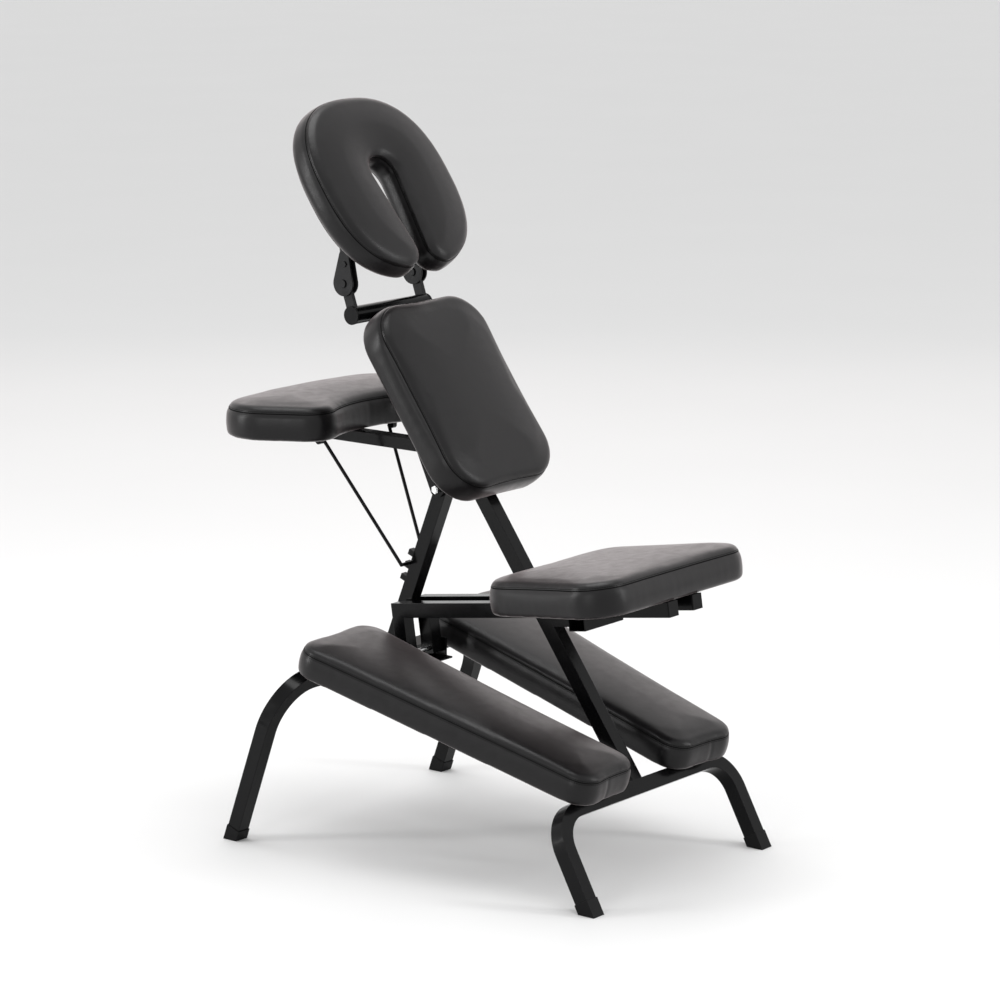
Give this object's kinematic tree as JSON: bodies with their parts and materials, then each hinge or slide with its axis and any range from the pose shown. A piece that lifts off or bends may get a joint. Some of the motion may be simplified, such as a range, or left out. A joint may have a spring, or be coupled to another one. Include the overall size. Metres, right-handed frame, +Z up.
{
  "type": "kneeling massage chair",
  "caption": "Black padded kneeling massage chair with a folding square-tube frame, seat, chest, knee and arm pads and a tilting face cradle.",
  "frame": {"origin": "on the floor, at the centre of the chair's bounding box seen from above", "axes": "+Z up, +Y the way the client faces (towards the arm rest), +X the client's right"},
  "size_m": [0.5756, 0.8554, 1.2394],
  "materials": {
    "frame_black": "gloss",
    "rod_black": "gloss",
    "cradle_grey": "satin",
    "zinc": "satin",
    "pad_leather": "satin",
    "plywood": "matte black stain",
    "foot_plastic": "matte"
  },
  "bodies": {
    "rear_frame": {"main_beam": "frame_black", "neck_bar": "frame_black", "neck_caps": "foot_plastic", "rear_leg_frame": "frame_black", "rear_feet": "foot_plastic", "apex_bracket": "frame_black", "apex_bolt": "zinc", "seat_shelf": "frame_black", "chest_plates": "frame_black", "chest_board": "plywood", "chest_screws": "zinc", "chest_pad": "pad_leather", "cradle_stems": "cradle_grey"},
    "front_frame": {"front_strut": "frame_black", "front_leg_frame": "frame_black", "front_feet": "foot_plastic", "foot_bracket": "frame_black", "stay_hooks": "frame_black", "arm_pivot_bolt": "zinc", "seat_pivot_bolt": "zinc", "knee_lugs": "frame_black", "knee_pins": "zinc"},
    "seat_frame": {"seat_rail_left": "frame_black", "seat_rail_right": "frame_black", "rail_plugs": "foot_plastic", "seat_board": "plywood", "seat_screws": "zinc", "seat_pad": "pad_leather"},
    "left_knee_rest": {"knee_hinge_left": "frame_black", "knee_board_left": "plywood", "knee_screws_left": "zinc", "knee_pad_left": "pad_leather"},
    "right_knee_rest": {"knee_hinge_right": "frame_black", "knee_board_right": "plywood", "knee_screws_right": "zinc", "knee_pad_right": "pad_leather"},
    "arm_rest": {"arm_tube": "frame_black", "arm_straps": "frame_black", "arm_tube_plug": "foot_plastic", "arm_plate": "frame_black", "arm_board": "plywood", "arm_screws": "zinc", "arm_pad": "pad_leather", "rod_eyes": "frame_black"},
    "stay": {"stay_rod": "rod_black"},
    "face_cradle": {"cradle_plates": "cradle_grey", "cradle_rivets": "cradle_grey", "cradle_arms": "frame_black", "face_base": "frame_black", "face_board": "plywood", "face_screws": "zinc", "face_pad": "pad_leather"}
  },
  "joints": [
    {"name": "frame_fold", "type": "hinge", "parent": "rear_frame", "child": "front_frame", "pos_m": [0, 0.05824, 0.63125], "axis": [-1, 0, 0], "range_deg": [0, 40]},
    {"name": "seat_fold", "type": "hinge", "parent": "front_frame", "child": "seat_frame", "pos_m": [0, 0.13149, 0.30079], "axis": [-1, 0, 0], "range_deg": [-22.5, 0]},
    {"name": "left_knee_fold", "type": "hinge", "parent": "front_frame", "child": "left_knee_rest", "pos_m": [-0.17649, 0.178, 0.292], "axis": [-1, 0, 0], "range_deg": [-36.5, 0]},
    {"name": "right_knee_fold", "type": "hinge", "parent": "front_frame", "child": "right_knee_rest", "pos_m": [0.17649, 0.178, 0.292], "axis": [-1, 0, 0], "range_deg": [-36.5, 0]},
    {"name": "arm_tilt", "type": "hinge", "parent": "front_frame", "child": "arm_rest", "pos_m": [0, 0.0783, 0.5905], "axis": [1, 0, 0], "range_deg": [0, 18]},
    {"name": "stay_swing", "type": "hinge", "parent": "arm_rest", "child": "stay", "pos_m": [0, 0.269, 0.663], "axis": [1, 0, 0], "range_deg": [0, 1]},
    {"name": "face_tilt", "type": "hinge", "parent": "rear_frame", "child": "face_cradle", "pos_m": [0, 0.213, 0.935], "axis": [-1, 0, 0], "range_deg": [-10, 30]}
  ],
  "couplings": [
    {"joint": "seat_fold", "follows": "frame_fold", "ratio": -0.55},
    {"joint": "left_knee_fold", "follows": "frame_fold", "ratio": -0.9},
    {"joint": "right_knee_fold", "follows": "frame_fold", "ratio": -0.9},
    {"joint": "stay_swing", "follows": "arm_tilt", "ratio": 0.05}
  ]
}
